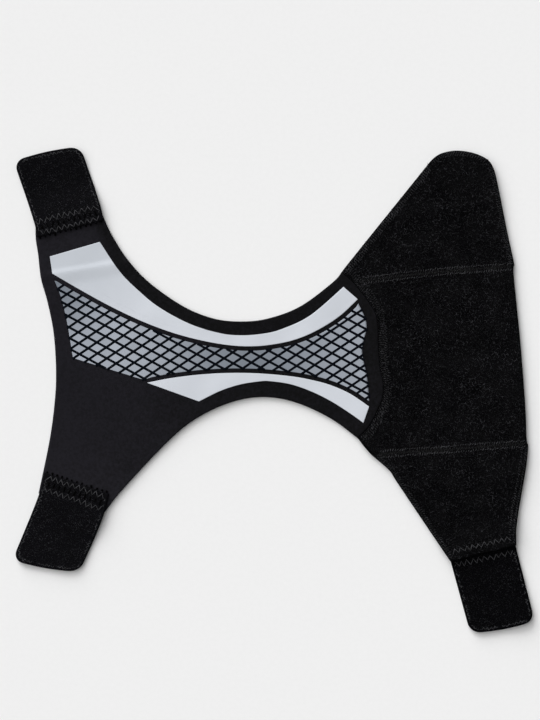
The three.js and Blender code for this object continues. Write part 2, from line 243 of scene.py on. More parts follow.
class Wire:
    """A socket of a node tree. Arithmetic on it adds Math nodes, and node() adds any other node.
    Lengths that ramp, wave, noise, clouds and bump take are in millimetres, and tones that blend takes are
    wires or steps of red, green and blue."""

    def __init__(self, tree, socket=None):
        self.tree = tree
        self.socket = socket

    def node(self, kind, sockets=None, output=0, **settings):
        made = self.tree.nodes.new(kind)
        for name, value in settings.items():
            setattr(made, name, value)
        for name, value in (sockets or {}).items():
            if isinstance(value, Wire):
                self.tree.links.new(value.socket, made.inputs[name])
            else:
                made.inputs[name].default_value = value
        return Wire(self.tree, made.outputs[output])

    def out(self, name):
        return Wire(self.tree, self.socket.node.outputs[name])

    def into(self, shader, name):
        self.tree.links.new(self.socket, shader.inputs[name])

    def maths(self, operation, *values):
        return self.node("ShaderNodeMath", dict(enumerate(values)), operation=operation)

    __add__ = __radd__ = arithmetic("ADD")
    __sub__ = arithmetic("SUBTRACT")
    __rsub__ = arithmetic("SUBTRACT", swapped=True)
    __mul__ = arithmetic("MULTIPLY")
    __truediv__ = arithmetic("DIVIDE")
    __rtruediv__ = arithmetic("DIVIDE", swapped=True)
    __pow__ = arithmetic("POWER")

    def __abs__(self):
        return self.maths("ABSOLUTE", self)

    def wave(self, length):
        return self.maths("SINE", self * (math.tau / (length * MM)))

    def fade(self, low, high):
        return self.node("ShaderNodeMapRange", {"Value": self, "From Min": low, "From Max": high},
                         interpolation_type="SMOOTHSTEP")

    def ramp(self, span):
        return self.fade(span[0] * MM, span[1] * MM)

    def blend(self, *tones):
        one, other = (tone if isinstance(tone, Wire) else paint(*tone) for tone in tones)
        return self.node("ShaderNodeMix", {0: self, 6: one, 7: other}, output=2, data_type="RGBA")

    def split(self, place):
        return self.node("ShaderNodeSeparateXYZ", {0: place})

    def point(self, x=0.0, y=0.0, z=0.0):
        return self.node("ShaderNodeCombineXYZ", {0: x, 1: y, 2: z})

    def vector(self, operation, sockets, output=0):
        return self.node("ShaderNodeVectorMath", sockets, output, operation=operation)

    def random(self, low, high, seed):
        return self.node("FunctionNodeRandomValue", {2: low, 3: high, "Seed": seed}, 1, data_type="FLOAT")

    def turned(self, euler):
        turn = self.node("FunctionNodeEulerToRotation", {"Euler": euler})
        return self.node("FunctionNodeRotateRotation", {"Rotation": self, "Rotate By": turn},
                         rotation_space="LOCAL")

    def noise(self, place, size, detail=2.0):
        return self.node("ShaderNodeTexNoise", {"Vector": place, "Scale": 1 / (size * MM), "Detail": detail})

    def clouds(self, place, size, detail=2.0):
        return self.noise(place, size, detail).fade(0.3, 0.7)

    def bump(self, depth, strength=1.0):
        return self.node("ShaderNodeBump", {"Height": self, "Distance": depth * MM, "Strength": strength})

    def moved(self, offset):
        return self.node("GeometryNodeSetPosition", {"Geometry": self, "Offset": offset})

    def swept(self, section):
        return self.node("GeometryNodeCurveToMesh", {
            "Curve": self, "Profile Curve": section, "Fill Caps": True})

    def ring(self, sides, radius):
        return self.node("GeometryNodeCurvePrimitiveCircle", {"Resolution": sides, "Radius": radius},
                         mode="RADIUS")


def paint(red, green, blue):
    """A colour given as it shows on a screen, in steps of 0 to 255."""
    shares = np.array([red, green, blue]) / 255
    linear = np.where(shares <= 0.04045, shares / 12.92, ((shares + 0.055) / 1.055) ** 2.4)
    return (*(float(value) for value in linear), 1.0)


def new_finish(name, **constants):
    """A material with its shader's constant values set, a board to wire on, and the place on the object."""
    material = bpy.data.materials.new(name)
    material.use_nodes = True
    shader = material.node_tree.nodes["Principled BSDF"]
    for socket, value in constants.items():
        shader.inputs[socket.replace("_", " ").title().replace("Ior", "IOR")].default_value = value
    board = Wire(material.node_tree)
    return material, board, board.node("ShaderNodeTexCoord", output="Object")


def painted(material, tone, roughness, relief=None):
    """Wires a material's colour, its roughness and, where it has one, its fine relief."""
    inputs = {"Base Color": tone, "Roughness": roughness, "Normal": relief}
    for name, wire in inputs.items():
        if wire:
            wire.into(material.node_tree.nodes["Principled BSDF"], name)
    return material


def knit(board, place):
    """Height of a fine jersey knit: columns of small slanting stitches."""
    across = board.split(place)
    rib = across.wave(KNIT_COLUMN)
    slant = across.out("Y") + abs(rib) * (KNIT_COURSE * MM * 0.35)
    return rib * 0.45 + slant.wave(KNIT_COURSE) * 0.55


def laminate_finish():
    material, board, place = new_finish("front_laminate", sheen_weight=0.015, sheen_roughness=0.45,
                                        specular_ior_level=0.06)
    across = board.split(place)
    # Painted light: the knit is greyer towards the left and darker towards the right.
    lit_left = 1 - across.ramp(LIT_LEFT_SPAN)
    arms = abs(across.out("Y") - MIDDLE_LINE * MM).ramp(ARMS_SPAN)
    # Painted shading along the upper bay, where the cloth's rim leans away from the light.
    bay_centre = (BAY_CENTRE[0] * MM, BAY_CENTRE[1] * MM, 0.0)
    rim = 1 - board.vector("DISTANCE", {0: place, 1: bay_centre}, output="Value").ramp(BAY_SHADING_SPAN)
    fluff = board.noise(place, 0.9, 4.0)
    grain = board.clouds(place, 2.2, 3.0)
    # Random clouds and grain, mixed with the painted light from the left and the painted shading by the upper
    # bay.
    wear_and_shading = (lit_left * 0.8 + board.clouds(place, 45) * 0.2) * (1 - rim * 0.85) + (grain - 0.5) * 0.5
    light = arms.blend((25, 24, 29), (29, 28, 33))
    tone = (fluff.fade(0.45, 0.8) * 0.35).blend(wear_and_shading.blend((8, 8, 9), light), (36, 35, 40))
    return painted(material, tone, 0.62 + fluff * 0.2, (knit(board, place) + fluff * 1.4).bump(0.05, 0.7))


def seat(piece, node=None):
    """Fixes a piece to the brace's one body and hides the imported part of the node that it stands for."""
    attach(piece, "root")
    if node:
        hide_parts(node)


laminate = laminate_finish()
front_curve = walk(FRONT_CURVE, CURVE_POINTS)
front_nose = walk(FRONT_NOSE, NOSE_POINTS)
front_grid = patch(
    chain(walk(LOWER_ARM_END, ARM_POINTS), walk(LOWER_BAY, BAY_POINTS)),
    chain(walk(UPPER_ARM_END, ARM_POINTS), walk(UPPER_BAY, BAY_POINTS)),
    walk(LEFT_EDGE, CURVE_POINTS + NOSE_POINTS - 1),
    chain(front_curve, front_nose))
front_share = crown(front_grid, dict(foot=FREE_RIM, right=SEWN_RIM, top=FREE_RIM, left=FREE_RIM))
front_bed = lie(front_grid)
front_panel = sheet_piece(
    "front_panel_cloth", front_grid,
    front_bed + PANEL_THICK * front_share + waves(front_grid) * front_share,
    front_bed + PANEL_THICK * UNDERCUT * (1 - front_share),
    laminate, laminate)
seat(front_panel, "front_panel")

# Films
# Two light grey bands and a darker field between them, thin films pressed onto the knit with heat. They
# follow every fold of the panel, and the knit shows faintly through them.
FILM_TOP = 0.26
FILM_SUNK = 0.06
FILM_RIM = (0.35, 0.3)
FILM_POINTS = 130
FILM_END_POINTS = 40
NET_MARGIN = 3.3
BAND_SHADE = (150, 250)  # how far up and to the left the bands turn darker
UPPER_BAND_FOOT = [(-166.1, 87.2), (-145.5, 75.2), (-123, 62.9), (-100.5, 52.2), (-78, 43.6), (-55.5, 37.4),
                   (-33, 33.5), (-14, 32.8), (4.5, 35), (19.5, 39), (34.5, 45.9), (49.5, 55.6), (62.8, 68)]
UPPER_BAND_TOP = [(-130.5, 111), (-115.5, 88.7), (-100.5, 73.6), (-85.5, 61.6), (-63, 49.4), (-40.5, 42.6),
                  (-25.5, 41), (-10.5, 41.9), (4.5, 45.2), (27, 55.8), (52.1, 77.3)]
UPPER_BAND_SIDE = [(-166.1, 87.2), (-168, 100.1)]
UPPER_BAND_END = [(-168, 100.1), (-130.5, 111)]
UPPER_BAND_TIP = [(62.8, 68), (52.1, 77.3)]
LOWER_BAND_TOP = [(-95.1, 5.4), (-78, 8.8), (-55.5, 11.6), (-33, 12.8), (-10.5, 12.4), (12, 10.4), (27, 7.8),
                  (42, 3.8), (57, -2.8), (71.3, -12.4)]
LOWER_BAND_FOOT = [(-56.2, -8.6), (-40.5, -0.8), (-25.5, 4.1), (-10.5, 6.5), (-3, 6.6), (12, 4.4), (27, -0.7),
                   (42, -8), (57, -17.5), (67, -24.7)]
LOWER_BAND_SIDE = [(-56.2, -8.6), (-95.1, 5.4)]
LOWER_BAND_TIP = [(67, -24.7), (71.3, -12.4)]
NET_CORNER = (-97.8, 7.6)
NET_LEFT = [(-150.6, 23.9), (-155.3, 51.8), (-160, 70.5), (-164.4, 81.8)]
NET_RIGHT = [(71.3, -8.3), (69.8, 9), (66, 30), (69.4, 48.8), (63.2, 64.9)]


def film_piece(name, grid, finish):
    """A film that lies on the front panel's upper face."""
    share = crown(grid, dict.fromkeys(SIDES, FILM_RIM))
    face = lie(grid) + PANEL_THICK + waves(grid)
    return sheet_piece(name, grid, face + FILM_TOP * share, face - FILM_SUNK, finish, finish)


def film_surface(material, board, place, tone):
    """Gives a film its tone and a nearly smooth face, with the knit showing faintly through it."""
    fine = board.noise(place, 0.7, 3.0)
    return painted(material, tone, 0.42 + fine * 0.16, (knit(board, place) + fine).bump(0.03, 0.5))


def light_film_finish():
    material, board, place = new_finish("light_film", specular_ior_level=0.3)
    across = board.split(place)
    top_left = (across.out("Y") - across).ramp(BAND_SHADE)
    tone = board.clouds(place, 38).blend((199, 203, 210), (206, 210, 217))
    return film_surface(material, board, place, top_left.blend(tone, (191, 196, 203)))


light_film = light_film_finish()
upper_band = film_piece("upper_band_film", patch(
    walk(UPPER_BAND_FOOT, FILM_POINTS), walk(UPPER_BAND_TOP, FILM_POINTS),
    chain(walk(UPPER_BAND_SIDE, FILM_END_POINTS // 2), walk(UPPER_BAND_END, FILM_END_POINTS)),
    walk(UPPER_BAND_TIP, FILM_END_POINTS + FILM_END_POINTS // 2 - 1)), light_film)
seat(upper_band, "upper_band")
lower_band = film_piece("lower_band_film", patch(
    walk(LOWER_BAND_FOOT, FILM_POINTS), walk(LOWER_BAND_TOP, FILM_POINTS),
    walk(LOWER_BAND_SIDE, FILM_END_POINTS), walk(LOWER_BAND_TIP, FILM_END_POINTS)), light_film)
seat(lower_band, "lower_band")

# Net
# A grey field between the bands with a net of narrow black ribs over it, printed thick enough to feel. Two
# sets of straight ribs cross at a flat angle, and the field's edges cut them off.
NET_CROSSING = np.array([-51.39, 31.36])  # a place where two ribs cross
NET_SETS = [(34.35, 7.075), (-28.52, 7.0)]  # heading and pitch of each set of ribs
NET_STEP = 2.5  # distance between the points of a rib, so that it follows the folds
RIB_WIDTH = 1.84
RIB_HEIGHT = 0.3
RIB_OVERHANG = 0.8  # a rib runs on past the field's edge
SHORTEST_RIB = 2.5
# Where the field's tone changes: darker at its waist and at its top left, and a little at its right end
WAIST = -18
WAIST_SPAN = (2, 100)
TOP_LEFT_SPAN = (112, 178)
RIGHT_END_SPAN = (30, 70)
NOT_LENGTHS = ("Density", "Turn", "Jitter", "Seed", "Finish")  # sizes of a tree that aren't in millimetres


def net_film_finish():
    material, board, place = new_finish("net_film", specular_ior_level=0.3)
    across = board.split(place)
    up = across.out("Y")
    waist = 1 - abs(across - WAIST * MM).ramp(WAIST_SPAN)
    top_left = (up * 0.7 - across * 0.7).ramp(TOP_LEFT_SPAN)
    cells = []
    for heading, pitch in NET_SETS:
        turn = math.radians(heading)
        start = NET_CROSSING @ np.array([-math.sin(turn), math.cos(turn)]) * MM
        row = (up * math.cos(turn) - across * math.sin(turn) - float(start)) / (pitch * MM)
        cells.append(row.maths("FLOOR", row))
    cell = board.point(*cells)
    patchy = board.node("ShaderNodeTexWhiteNoise", {"Vector": cell}, noise_dimensions="2D")
    tone = across.ramp(RIGHT_END_SPAN).blend((165, 171, 181), (158, 164, 174))
    tone = top_left.blend(waist.blend(tone, (112, 119, 129)), (99, 107, 117))
    return film_surface(material, board, place, (patchy * 0.45).blend(tone, (134, 140, 149)))


def rib_finish():
    material, board, place = new_finish("net_rib", specular_ior_level=0.02)
    fine = board.noise(place, 0.5, 3.0)
    tone = fine.blend((4, 7, 12), (8, 12, 19))
    return painted(material, tone, 0.5 + fine * 0.2, fine.bump(0.03, 0.6))


def net_outline():
    """The edges of the net's field: foot, right, top and left."""
    lower = aside(walk(LOWER_BAND_TOP, FILM_POINTS), NET_MARGIN)
    upper = aside(walk(UPPER_BAND_FOOT, FILM_POINTS), -NET_MARGIN)
    slope = walk([NET_LEFT[0], NET_CORNER], FILM_END_POINTS)
    top = np.vstack([NET_LEFT[-1], upper[len(RIM_STEPS):-len(RIM_STEPS)], NET_RIGHT[-1]])
    foot = np.vstack([slope, lower[len(RIM_STEPS):-len(RIM_STEPS)], NET_RIGHT[0]])
    even = np.linspace(0, 1, len(foot))
    sums = distances(top) / distances(top)[-1]
    top = np.column_stack([np.interp(even, sums, top[:, axis]) for axis in (0, 1)])
    return foot, walk(NET_RIGHT, FILM_END_POINTS), top, walk(NET_LEFT, FILM_END_POINTS)


def cut_line(outline, start, along):
    """The stretches of an endless line that lie inside a closed outline."""
    normal = np.array([-along[1], along[0]])
    side = (outline - start) @ normal
    following, side_after = np.roll(outline, -1, axis=0), np.roll(side, -1)
    crossed = (side > 0) != (side_after > 0)
    part = side[crossed] / (side[crossed] - side_after[crossed])
    hits = outline[crossed] + (following[crossed] - outline[crossed]) * part[:, None]
    places = np.sort((hits - start) @ along)
    return zip(places[0::2], places[1::2])


def new_tree(name, *sizes):
    """A board for a Geometry Nodes tree, and a wire for each of its sizes, its seed and its finish."""
    tree = bpy.data.node_groups.new(name, "GeometryNodeTree")
    tree.interface.new_socket("Geometry", in_out="OUTPUT", socket_type="NodeSocketGeometry")
    inputs = {"Geometry": "Geometry", **dict.fromkeys(sizes, "Float"), "Seed": "Int", "Finish": "Material"}
    for label, kind in inputs.items():
        tree.interface.new_socket(label, in_out="INPUT", socket_type="NodeSocket" + kind)
    entry = tree.nodes.new("NodeGroupInput")
    given = {socket.name: Wire(tree, socket) for socket in entry.outputs if socket.name}
    return Wire(tree), SimpleNamespace(**given)


def close_tree(shape, finish):
    """Ends a tree: instances made real, smooth faces and the finish."""
    real = shape.node("GeometryNodeRealizeInstances", {"Geometry": shape})
    smooth = shape.node("GeometryNodeSetShadeSmooth", {"Geometry": real})
    dressed = shape.node("GeometryNodeSetMaterial", {"Geometry": smooth, "Material": finish})
    dressed.into(shape.tree.nodes.new("NodeGroupOutput"), "Geometry")
    return shape.tree


def grow(name, source, tree, **sizes):
    """Runs a tree on a mesh and keeps the result as a plain mesh. Lengths are in millimetres."""
    piece = new_object(name, source)
    modifier = piece.modifiers.new(name, "NODES")
    modifier.node_group = tree
    for socket in tree.interface.items_tree:
        if socket.in_out == "INPUT" and socket.name in sizes:
            size = sizes[socket.name]
            modifier[socket.identifier] = size if socket.name in NOT_LENGTHS else size * MM
    evaluated = piece.evaluated_get(bpy.context.evaluated_depsgraph_get())
    mesh = bpy.data.meshes.new_from_object(evaluated)
    piece.modifiers.remove(modifier)
    piece.data = mesh
    mesh.name = name
    return piece


def grow_along(name, rows, tree, **sizes):
    """Runs a tree on bare lines, one for each row of points."""
    points = np.vstack(rows) * MM
    ends = np.cumsum([len(row) for row in rows])
    edges = [(i, i + 1) for i in range(len(points) - 1) if i + 1 not in ends]
    mesh = bpy.data.meshes.new(name)
    mesh.from_pydata(points.tolist(), edges, [])
    return grow(name, mesh, tree, **sizes)


def rib_tree():
    board, given = new_tree("net_rib", "Width", "Height")
    line = board.node("GeometryNodeMeshToCurve", {"Mesh": given.Geometry})
    level = board.node("GeometryNodeSetCurveNormal", {"Curve": line}, mode="Z_UP")
    section = board.node("GeometryNodeTransform", {
        "Geometry": board.ring(8, 0.5), "Scale": board.point(given.Width, given.Height, 1.0)})
    return close_tree(level.swept(section), given.Finish)


net_foot, net_right, net_top, net_left = net_outline()
net_film = film_piece("net_field_film", patch(net_foot, net_top, net_left, net_right), net_film_finish())
seat(net_film, "net_film")

net_edge = np.vstack([net_foot, net_right[1:], net_top[-2::-1], net_left[-2:0:-1]])
rib_rows = []
for net_heading, net_pitch in NET_SETS:
    net_turn = math.radians(net_heading)
    rib_along = np.array([math.cos(net_turn), math.sin(net_turn)])
    rib_across = np.array([-rib_along[1], rib_along[0]])
    offsets = (net_edge - NET_CROSSING) @ rib_across / net_pitch
    for number in range(math.ceil(offsets.min()), math.floor(offsets.max()) + 1):
        rib_start = NET_CROSSING + number * net_pitch * rib_across
        for first, last in cut_line(net_edge, rib_start, rib_along):
            if last - first < SHORTEST_RIB:
                continue
            count = max(2, round((last - first) / NET_STEP))
            steps = np.linspace(first - RIB_OVERHANG, last + RIB_OVERHANG, count)
            spots = rib_start + steps[:, None] * rib_along
            rib_rows.append(np.column_stack([spots, lie(spots) + PANEL_THICK + waves(spots) + FILM_TOP]))
net_ribs = grow_along("net_ribs", rib_rows, rib_tree(), Width=RIB_WIDTH, Height=RIB_HEIGHT,
                      Finish=rib_finish())
seat(net_ribs)

# Loop panels
# The three panels at the right: the same foam with a ground of brushed loops that the tabs' hooks grip. They
# are sewn edge to edge with flat seams, and their round left edge is overlocked onto the front panel.
GROUND_THICK = 3.6  # foam and ground, under the loops
GAP = 0.06  # between panels that are sewn edge to edge
SEAM_POINTS = 66
WING_POINTS = 66
LOOP_RIM = (1.8, 0.42)
SEAM_RIM = (2.4, 0.94)
LAP_RIM = (1.2, 0.6)
UPPER_SEAM = [(60, 81), (94.5, 85.5), (132, 89.3), (179.6, 92.7)]
LOWER_SEAM = [(73.5, -49.1), (94.5, -46.9), (132, -44.3), (189.8, -39.9)]
MIDDLE_HEM = [(63, -36.4), (69, -44.2), (73.5, -49.1)]
MIDDLE_RIGHT = [(189.8, -39.9), (189, -33.4), (188.8, -22.5), (187.5, -0.4), (184.6, 35.6), (181.6, 66),
                (179.5, 87), (179.6, 92.7)]
UPPER_DIAGONAL = [(51, 88.9), (61, 101.6), (109.3, 161.6), (116.5, 170.6)]
UPPER_TIP = [(116.5, 170.6), (120.6, 174.6), (126.5, 177.7), (136.5, 179.4), (148, 178), (157.4, 174.4),
             (162.2, 170.6)]
UPPER_RIGHT = [(179.6, 92.7), (179.8, 95.8), (175.2, 116.6), (169.2, 146.6), (165.4, 163.6), (162.2, 170.6)]
LOWER_LEFT = [(132, -128.3), (122.6, -114.4), (92.4, -69.4), (86.5, -60.4), (73.5, -49.1)]
LOWER_RIGHT = [(181.4, -116.4), (181.6, -102.4), (184.9, -81.4), (188.5, -60.4), (190.4, -43.5),
               (189.8, -39.9)]
LOWER_END = [(132, -128.3), (181.4, -116.4)]
TAB_STEP = dict(x=150, y=-95, heading=-76, reach=16, height=2.7)  # the rise over the tab that is sewn under

PANEL_LOOPS = dict(Density=0.7e6, Span=1.7, Height=1.05, Thread=0.22, Clump=4.0)  # loops on a square metre
LOOP_LEAN = 0.7  # how far a loop leans to any side, in radians
LOOP_SIZES = (0.65, 1.2)
UPWARD = 0.3  # loops stand on faces that look up at least so far
PILE_START = {LOOP_RIM: 0.6, SEAM_RIM: 0.9, LAP_RIM: 0.2}  # how far from each kind of edge the loops begin
PILE_THICKENS = 1.8  # the stretch over which they come to stand close
# Painted light: pile and tape turn darker from left to right over this span.
RIGHTWARD = (-100, 150)  # the span from left to right over which pile and tape turn darker


def lie_over_tab(points):
    return lie(points) + rise(points, **TAB_STEP)


def ground_finish():
    material, board, place = new_finish("loop_ground", specular_ior_level=0.02)
    tufts_and_glints = board.noise(place, 1.5, 5.0)
    tone = board.clouds(place, 14).blend((5, 5, 6), (12, 12, 13))
    # The tufts give real relief, and their lighter specks are painted highlights, the glints of the fibres.
    tone = (tufts_and_glints.fade(0.52, 0.78) * 0.6).blend(tone, (30, 30, 33))
    return painted(material, tone, 0.8 + tufts_and_glints * 0.15, tufts_and_glints.bump(0.9))


def loop_finish(name, dark, light, light_right):
    material, board, place = new_finish(name, specular_ior_level=0.1)
    glint = board.node("ShaderNodeAttribute", output="Fac", attribute_name="glint")
    # Painted highlights: loops with a high glint value turn lighter, standing in for the glints of their
    # fibres.
    bright = glint ** 4 * (0.58 + board.clouds(place, 17) * 0.84)
    # Painted light: the loops are lighter towards the left and darker towards the right.
    tone = board.split(place).ramp(RIGHTWARD).blend(light, light_right)
    return painted(material, bright.blend(dark, tone), 0.55 + glint * 0.2)


def arched_thread(board, span, foot, middle, steps, sides, thickness):
    """A thread that arches over a span, from a foot at each end over a middle point."""
    arch = board.node("GeometryNodeCurveQuadraticBezier", {
        "Resolution": steps, "Start": board.point(x=span * -0.5, z=foot), "Middle": middle,
        "End": board.point(x=span * 0.5, z=foot)})
    return arch.swept(board.ring(sides, thickness * 0.5))


def pile_tree():
    board, given = new_tree("loop_pile", "Density", "Span", "Height", "Thread", "Clump")
    share = board.node("GeometryNodeInputNamedAttribute", {"Name": "pile"}, data_type="FLOAT")
    clump = board.node("ShaderNodeTexNoise", {
        "Vector": board.node("GeometryNodeInputPosition"), "Scale": 1 / given.Clump, "Detail": 2.0})
    upright = board.split(board.node("GeometryNodeInputNormal")).out("Z")
    upper = board.node("GeometryNodeSeparateGeometry", {
        "Geometry": given.Geometry, "Selection": upright.maths("GREATER_THAN", upright, UPWARD),
    }, domain="FACE")
    roots = board.node("GeometryNodeDistributePointsOnFaces", {
        "Mesh": upper, "Density": given.Density * share * (clump.fade(0.3, 0.7) * 1.2 + 0.4),
        "Seed": given.Seed}, distribute_method="RANDOM")
    top = board.point(y=given.Span * 0.3, z=given.Height * 2)
    loop = arched_thread(board, given.Span, given.Height * -0.25, top,
                         steps=2, sides=3, thickness=given.Thread)
    lean = board.node("FunctionNodeRandomValue", {
        0: (-LOOP_LEAN, -LOOP_LEAN, 0.0), 1: (LOOP_LEAN, LOOP_LEAN, math.tau), "Seed": given.Seed,
    }, data_type="FLOAT_VECTOR")
    loops = board.node("GeometryNodeInstanceOnPoints", {
        "Points": roots, "Instance": loop, "Rotation": roots.out("Rotation").turned(lean),
        "Scale": board.random(*LOOP_SIZES, given.Seed + 1)})
    # A random glint value for each loop, which its finish turns into painted highlights.
    tinted = board.node("GeometryNodeStoreNamedAttribute", {
        "Geometry": loops, "Name": "glint", "Value": board.random(0.0, 1.0, given.Seed + 2),
    }, data_type="FLOAT", domain="INSTANCE")
    return close_tree(tinted, given.Finish)


def loop_panel(name, grid, bed, rims, seed):
    """A loop panel and the loops that stand on it."""
    share = crown(grid, rims)
    covered = [(distance - PILE_START[rims[side]]) / PILE_THICKENS
               for side, distance in edge_distances(grid).items()]
    height = bed(grid)
    panel = sheet_piece(
        name + "_cloth", grid, height + GROUND_THICK * share + 2 * waves(grid) * share,
        height + GROUND_THICK * UNDERCUT * (1 - share), ground, laminate,
        pile=ease(np.min(covered, axis=0)))
    loops = grow(name + "_loops", panel.data, loop_pile, Seed=seed, Finish=loop_yarn, **PANEL_LOOPS)
    seat(panel, name)
    seat(loops)
    return panel, loops


ground = ground_finish()
loop_yarn = loop_finish("loop_yarn", (4, 4, 5), (76, 76, 80), (70, 70, 74))
loop_pile = pile_tree()
upper_seam = walk(UPPER_SEAM, NOSE_POINTS + SEAM_POINTS - 1)
lower_seam = walk(LOWER_SEAM, SEAM_POINTS)
upper_panel, upper_loops = loop_panel(
    "upper_loop_panel",
    patch(chain(aside(front_nose, -GAP)[::-1], aside(upper_seam, GAP / 2)),
          walk(UPPER_TIP, 2 * NOSE_POINTS + SEAM_POINTS - 2),
          walk(UPPER_DIAGONAL, WING_POINTS), walk(UPPER_RIGHT, WING_POINTS)),
    lie, dict(foot=SEAM_RIM, right=LOOP_RIM, top=LOOP_RIM, left=LOOP_RIM), seed=11)
middle_panel, middle_loops = loop_panel(
    "middle_loop_panel",
    patch(chain(walk(MIDDLE_HEM, NOSE_POINTS), aside(lower_seam, GAP / 2)), aside(upper_seam, -GAP / 2),
          aside(front_curve, -GAP), walk(MIDDLE_RIGHT, CURVE_POINTS)),
    lie, dict(foot=SEAM_RIM, right=LOOP_RIM, top=SEAM_RIM, left=SEAM_RIM), seed=23)
lower_panel, lower_loops = loop_panel(
    "lower_loop_panel",
    patch(walk(LOWER_END, SEAM_POINTS), aside(lower_seam, -GAP / 2),
          walk(LOWER_LEFT, WING_POINTS), walk(LOWER_RIGHT, WING_POINTS)),
    lie_over_tab, dict(foot=LAP_RIM, right=LOOP_RIM, top=SEAM_RIM, left=LOOP_RIM), seed=37)

# Seams of the loop panels
# Dark grey thread. Flat seams show as two rows of small slanting stitches with finer threads across between
# them, the overlocked curve as a belt of stitches, and the free edges of the wings have rows of their own.
FLAT_ROWS = (-2.3, 2.3)  # places of the rows beside a flat seam, and below those beside the curve
CURVE_ROWS = (-1.6, -3.4, -5.2)
ROW_LIFT = 0.25  # height of a row over the ground
STITCH_SIZES = (0.7, 1.15)
# The free edges that have rows: the edge, the lie of the cloth there, and how far in each row runs
EDGE_ROWS = [
    (UPPER_DIAGONAL, lie, (-1.0, -2.2, -3.4, -4.6)),
    (UPPER_TIP, lie, (-1.6, -3.2)),
    (UPPER_RIGHT, lie, (1.6, 3.4)),
    (LOWER_LEFT, lie_over_tab, (-1.4, -3.3)),
    (LOWER_RIGHT, lie_over_tab, (1.7, 4.8)),
]
# Each kind of stitch, in millimetres. Its turn from the row, and the jitter of that turn, are in radians.
FLAT_STITCH = dict(Pitch=1.8, Length=1.6, Thread=0.48, Arch=0.5, Turn=0.8, Jitter=0.8, Scatter=0.4)
CROSS_STITCH = dict(Pitch=1.1, Length=4.4, Thread=0.34, Arch=0.5, Turn=1.2, Jitter=0.35, Scatter=0.3)
CURVE_STITCH = dict(Pitch=1.7, Length=1.7, Thread=0.36, Arch=0.5, Turn=1.2, Jitter=0.6, Scatter=0.8)
EDGE_STITCH = dict(Pitch=1.8, Length=1.7, Thread=0.38, Arch=0.5, Turn=1.0, Jitter=0.5, Scatter=0.5)


def thread_finish(name, dark, light, gloss=0.25):
    material, board, place = new_finish(name, sheen_weight=gloss * 0.4, specular_ior_level=gloss)
    fine = board.noise(place, 0.4, 3.0)
    wear_and_shading = board.noise(place, 2.6).fade(0.35, 0.65)
    tone = (fine * 0.4 + wear_and_shading * 0.6).blend(dark, light)
    return painted(material, tone, 0.5 + fine * 0.3, fine.bump(0.06, 0.8))


def even_row(given, step):
    """A tree's given lines as curves with points at even steps."""
    line = given.Geometry.node("GeometryNodeMeshToCurve", {"Mesh": given.Geometry})
    return line.node("GeometryNodeResampleCurve", {"Curve": line, "Length": step}, mode="LENGTH")


def sideways(board, distance):
    """A level step across a curve."""
    across = board.vector("CROSS_PRODUCT", {0: board.node("GeometryNodeInputTangent"), 1: (0.0, 0.0, 1.0)})
    return board.vector("SCALE", {0: across, "Scale": distance})


def stitch_tree():
    board, given = new_tree("stitches", "Pitch", "Length", "Thread", "Arch", "Turn", "Jitter", "Scatter")
    astray = board.random(given.Scatter * -1, given.Scatter, given.Seed + 2)
    scattered = even_row(given, given.Pitch).moved(sideways(board, astray))
    top = board.point(z=given.Arch * 1.6)
    stitch = arched_thread(board, given.Length, given.Arch * -0.8, top,
                           steps=4, sides=5, thickness=given.Thread)
    along = board.node("FunctionNodeAlignRotationToVector", {
        "Vector": board.node("GeometryNodeInputTangent")}, axis="X")
    stray = board.random(given.Jitter * -1, given.Jitter, given.Seed)
    facing = along.turned(board.point(z=given.Turn + stray))
    sewn = board.node("GeometryNodeInstanceOnPoints", {
        "Points": scattered, "Instance": stitch, "Rotation": facing,
        "Scale": board.random(*STITCH_SIZES, given.Seed + 1)})
    return close_tree(sewn, given.Finish)


def row_on(points, bed, inset, rim, start=2.0, end=2.0):
    """A row of stitches beside an edge, on the ground that rounds off there, short of the edge's ends."""
    sums = distances(points)
    line = aside(points, inset)[(sums > start) & (sums < sums[-1] - end)]
    height = bed(line) + GROUND_THICK * rim_share(abs(inset), *rim) + ROW_LIFT
    return np.column_stack([line, height])


thread = thread_finish("thread", (13, 13, 15), (76, 76, 80))
fine_thread = thread_finish("fine_thread", (10, 10, 12), (62, 62, 66))
dark_thread = thread_finish("dark_thread", (6, 6, 7), (15, 15, 17))
stitches = stitch_tree()
flat_rows = [row_on(seam, lie, inset, SEAM_RIM, start=6)
             for seam in (upper_seam, lower_seam) for inset in FLAT_ROWS]
cross_rows = [row_on(seam, lie, 0, SEAM_RIM, start=4) for seam in (upper_seam, lower_seam)]
curve_rows = [row_on(chain(front_curve, front_nose), lie, inset, SEAM_RIM) for inset in CURVE_ROWS]
edge_rows = [row_on(walk(edge, WING_POINTS), bed, inset, LOOP_RIM, end=4)
             for edge, bed, insets in EDGE_ROWS for inset in insets]
flat_seams = grow_along("flat_seams", flat_rows, stitches, Seed=5, Finish=thread, **FLAT_STITCH)
cross_threads = grow_along("cross_threads", cross_rows, stitches, Seed=8, Finish=dark_thread, **CROSS_STITCH)
curve_seam = grow_along("curve_seam", curve_rows, stitches, Seed=6, Finish=fine_thread, **CURVE_STITCH)
edge_seams = grow_along("edge_seams", edge_rows, stitches, Seed=7, Finish=fine_thread, **EDGE_STITCH)
for seam in (flat_seams, cross_threads, curve_seam, edge_seams):
    seat(seam)

